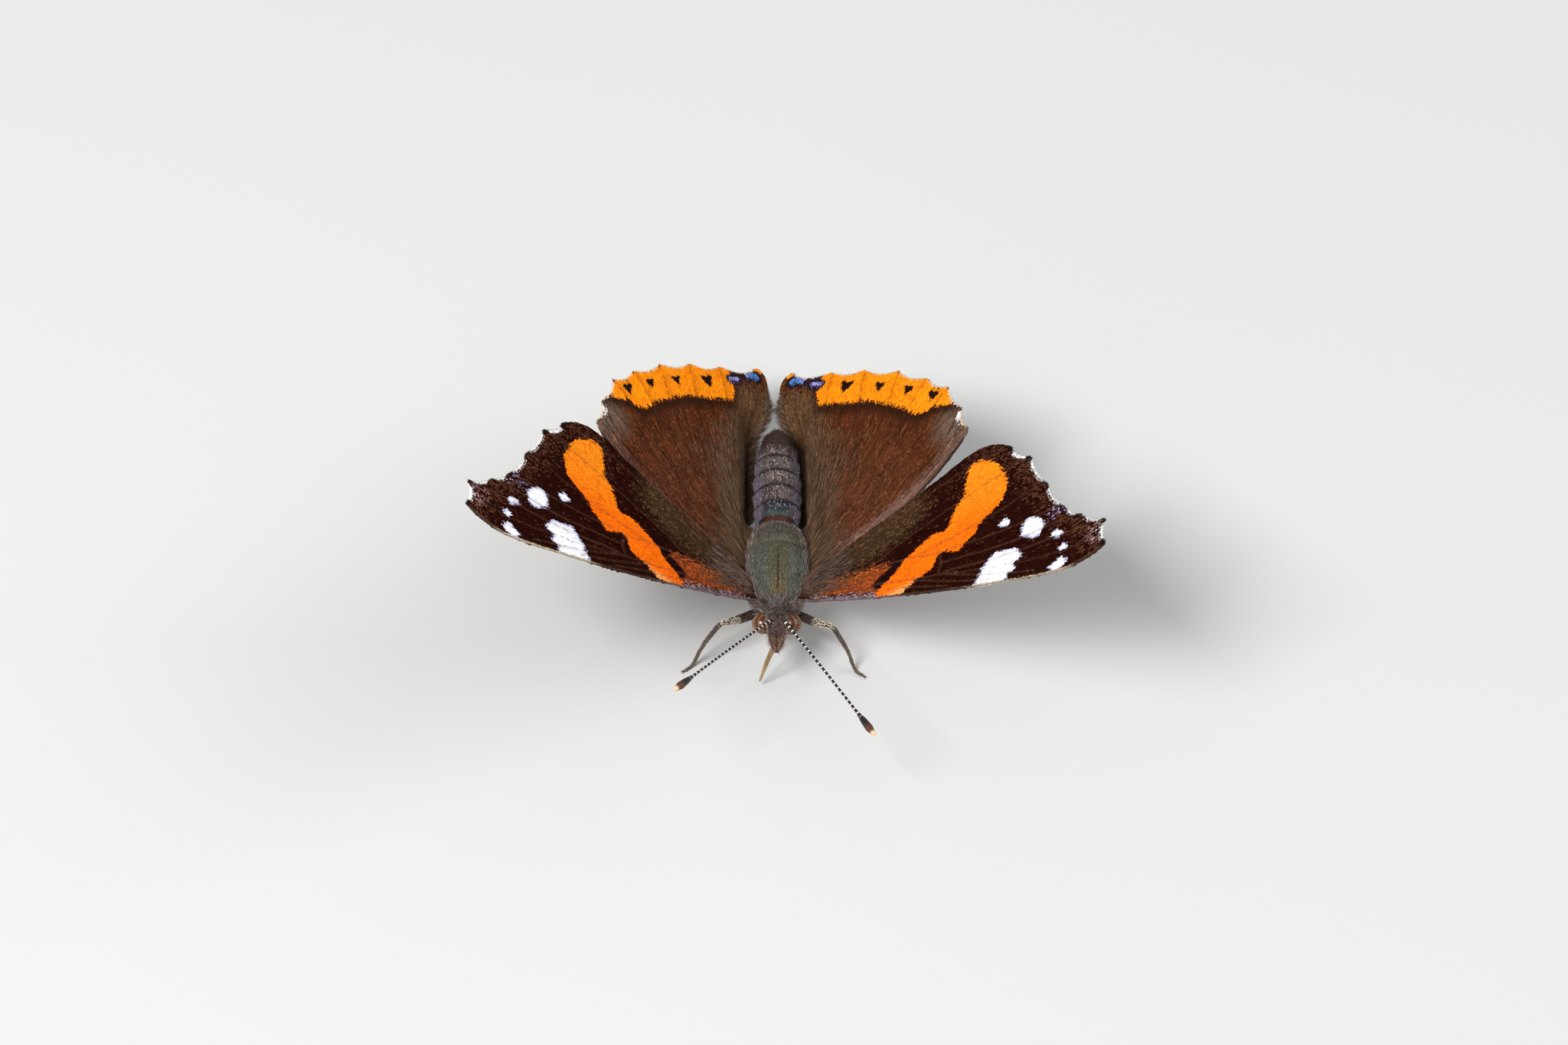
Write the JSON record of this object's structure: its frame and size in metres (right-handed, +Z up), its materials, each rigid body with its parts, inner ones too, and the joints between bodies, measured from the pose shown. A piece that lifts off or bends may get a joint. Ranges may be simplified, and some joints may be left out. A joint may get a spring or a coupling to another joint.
{
  "type": "red admiral butterfly",
  "caption": "Life-size red admiral butterfly standing on its legs, with scalloped, veined wings raised in a shallow V.",
  "frame": {"origin": "on the floor, under the middle of the whole butterfly's bounding box", "axes": "+Z up, the head looks along -Y, the animal's left side is +X"},
  "size_m": [0.051, 0.0402, 0.0281],
  "materials": {
    "thorax": "matt, fine bronze-green hair",
    "abdomen": "matt, dark grey-brown scales",
    "head": "matt, brown hair",
    "proboscis": "smooth, straw brown",
    "eye": "gloss, red-brown",
    "palp": "matt, pinkish-brown hair",
    "antenna": "matt, black with white rings",
    "forewing": "matt scales, blackish brown, orange band, white spots",
    "hindwing": "matt scales, brown, orange border",
    "leg": "matt, dark brown"
  },
  "bodies": {
    "root": {"thorax": "thorax", "abdomen": "abdomen", "head": "head", "proboscis": "proboscis", "eye_left": "eye", "eye_right": "eye", "palp_left": "palp", "palp_right": "palp", "antenna_left": "antenna", "antenna_right": "antenna", "forewing_left": "forewing", "forewing_right": "forewing", "hindwing_left": "hindwing", "hindwing_right": "hindwing", "foreleg_left": "leg", "foreleg_right": "leg", "midleg_left": "leg", "midleg_right": "leg", "hindleg_left": "leg", "hindleg_right": "leg"}
  },
  "joints": []
}
